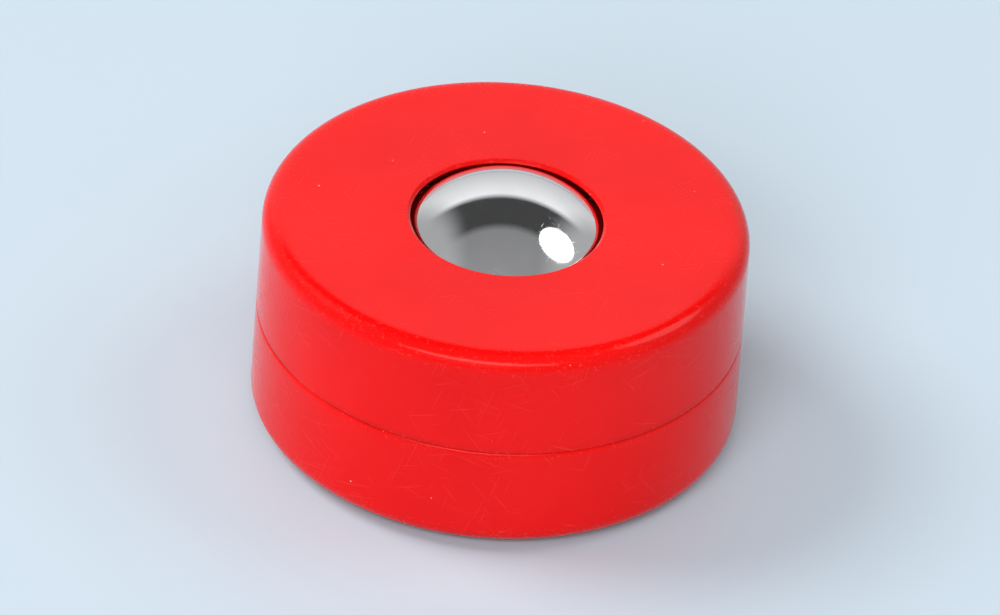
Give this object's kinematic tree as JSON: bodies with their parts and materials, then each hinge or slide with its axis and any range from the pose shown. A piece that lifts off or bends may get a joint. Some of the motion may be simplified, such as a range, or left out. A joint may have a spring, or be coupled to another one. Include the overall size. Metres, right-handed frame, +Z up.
{
  "type": "tabletop curling stone",
  "caption": "Round moulded plastic puck that rolls on a captive steel ball showing through its top and underside.",
  "frame": {"origin": "on the surface that the stone rolls on, straight below its centre, where the rolling ball touches", "axes": "+Z up along the stone's axis of symmetry; X and Y are any two directions square to it"},
  "size_m": [0.021, 0.021, 0.0115],
  "materials": {
    "shell_plastic": "glossy moulded red plastic with light handling scratches",
    "ball_chrome": "polished bearing steel",
    "race_steel": "turned and hardened, with fine tool marks",
    "spacer_plastic": "natural white acetal, moulded",
    "cage_plastic": "black nylon, moulded"
  },
  "bodies": {
    "housing": {"upper_shell": "shell_plastic", "lower_shell": "shell_plastic", "spacer_ring": "spacer_plastic", "race_ring": "race_steel"},
    "cage": {"ball_cage": "cage_plastic"},
    "roller": {"rolling_ball": "ball_chrome"},
    "support_ball_01": {"support_ball_01": "ball_chrome"},
    "support_ball_02": {"support_ball_02": "ball_chrome"},
    "support_ball_03": {"support_ball_03": "ball_chrome"},
    "support_ball_04": {"support_ball_04": "ball_chrome"},
    "support_ball_05": {"support_ball_05": "ball_chrome"},
    "support_ball_06": {"support_ball_06": "ball_chrome"},
    "support_ball_07": {"support_ball_07": "ball_chrome"},
    "support_ball_08": {"support_ball_08": "ball_chrome"},
    "support_ball_09": {"support_ball_09": "ball_chrome"},
    "support_ball_10": {"support_ball_10": "ball_chrome"},
    "support_ball_11": {"support_ball_11": "ball_chrome"},
    "support_ball_12": {"support_ball_12": "ball_chrome"},
    "support_ball_13": {"support_ball_13": "ball_chrome"},
    "support_ball_14": {"support_ball_14": "ball_chrome"}
  },
  "joints": [
    {"name": "cage_turn", "type": "hinge", "parent": "housing", "child": "cage", "pos_m": [0, 0, 0.00575], "axis": [0, 0, 1], "continuous": true},
    {"name": "ball_roll", "type": "hinge", "parent": "cage", "child": "roller", "pos_m": [0, 0, 0.00575], "axis": [0, 1, 0], "continuous": true},
    {"name": "support_ball_01_spin", "type": "hinge", "parent": "cage", "child": "support_ball_01", "pos_m": [0.00654, 0, 0.0075], "axis": [0, 1, 0], "continuous": true},
    {"name": "support_ball_02_spin", "type": "hinge", "parent": "cage", "child": "support_ball_02", "pos_m": [0.00589, 0.00284, 0.0075], "axis": [-0.4017, 0.9079, -0.1195], "continuous": true},
    {"name": "support_ball_03_spin", "type": "hinge", "parent": "cage", "child": "support_ball_03", "pos_m": [0.00408, 0.00511, 0.0075], "axis": [-0.6938, 0.6555, -0.2982], "continuous": true},
    {"name": "support_ball_04_spin", "type": "hinge", "parent": "cage", "child": "support_ball_04", "pos_m": [0.00146, 0.00638, 0.0075], "axis": [-0.6016, 0.3364, -0.7245], "continuous": true},
    {"name": "support_ball_05_spin", "type": "hinge", "parent": "cage", "child": "support_ball_05", "pos_m": [-0.00146, 0.00638, 0.0075], "axis": [0.6016, 0.3364, -0.7245], "continuous": true},
    {"name": "support_ball_06_spin", "type": "hinge", "parent": "cage", "child": "support_ball_06", "pos_m": [-0.00408, 0.00511, 0.0075], "axis": [0.6938, 0.6555, -0.2982], "continuous": true},
    {"name": "support_ball_07_spin", "type": "hinge", "parent": "cage", "child": "support_ball_07", "pos_m": [-0.00589, 0.00284, 0.0075], "axis": [0.4017, 0.9079, -0.1195], "continuous": true},
    {"name": "support_ball_08_spin", "type": "hinge", "parent": "cage", "child": "support_ball_08", "pos_m": [-0.00654, 0, 0.0075], "axis": [0, 1, 0], "continuous": true},
    {"name": "support_ball_09_spin", "type": "hinge", "parent": "cage", "child": "support_ball_09", "pos_m": [-0.00589, -0.00284, 0.0075], "axis": [-0.4017, 0.9079, 0.1195], "continuous": true},
    {"name": "support_ball_10_spin", "type": "hinge", "parent": "cage", "child": "support_ball_10", "pos_m": [-0.00408, -0.00511, 0.0075], "axis": [-0.6938, 0.6555, 0.2982], "continuous": true},
    {"name": "support_ball_11_spin", "type": "hinge", "parent": "cage", "child": "support_ball_11", "pos_m": [-0.00146, -0.00638, 0.0075], "axis": [-0.6016, 0.3364, 0.7245], "continuous": true},
    {"name": "support_ball_12_spin", "type": "hinge", "parent": "cage", "child": "support_ball_12", "pos_m": [0.00146, -0.00638, 0.0075], "axis": [0.6016, 0.3364, 0.7245], "continuous": true},
    {"name": "support_ball_13_spin", "type": "hinge", "parent": "cage", "child": "support_ball_13", "pos_m": [0.00408, -0.00511, 0.0075], "axis": [0.6938, 0.6555, 0.2982], "continuous": true},
    {"name": "support_ball_14_spin", "type": "hinge", "parent": "cage", "child": "support_ball_14", "pos_m": [0.00589, -0.00284, 0.0075], "axis": [0.4017, 0.9079, 0.1195], "continuous": true}
  ],
  "couplings": [
    {"joint": "support_ball_01_spin", "follows": "ball_roll", "ratio": -5.75},
    {"joint": "support_ball_02_spin", "follows": "ball_roll", "ratio": -5.2207},
    {"joint": "support_ball_03_spin", "follows": "ball_roll", "ratio": -3.7692},
    {"joint": "support_ball_04_spin", "follows": "ball_roll", "ratio": -1.9345},
    {"joint": "support_ball_05_spin", "follows": "ball_roll", "ratio": -1.9345},
    {"joint": "support_ball_06_spin", "follows": "ball_roll", "ratio": -3.7692},
    {"joint": "support_ball_07_spin", "follows": "ball_roll", "ratio": -5.2207},
    {"joint": "support_ball_08_spin", "follows": "ball_roll", "ratio": -5.75},
    {"joint": "support_ball_09_spin", "follows": "ball_roll", "ratio": -5.2207},
    {"joint": "support_ball_10_spin", "follows": "ball_roll", "ratio": -3.7692},
    {"joint": "support_ball_11_spin", "follows": "ball_roll", "ratio": -1.9345},
    {"joint": "support_ball_12_spin", "follows": "ball_roll", "ratio": -1.9345},
    {"joint": "support_ball_13_spin", "follows": "ball_roll", "ratio": -3.7692},
    {"joint": "support_ball_14_spin", "follows": "ball_roll", "ratio": -5.2207}
  ]
}
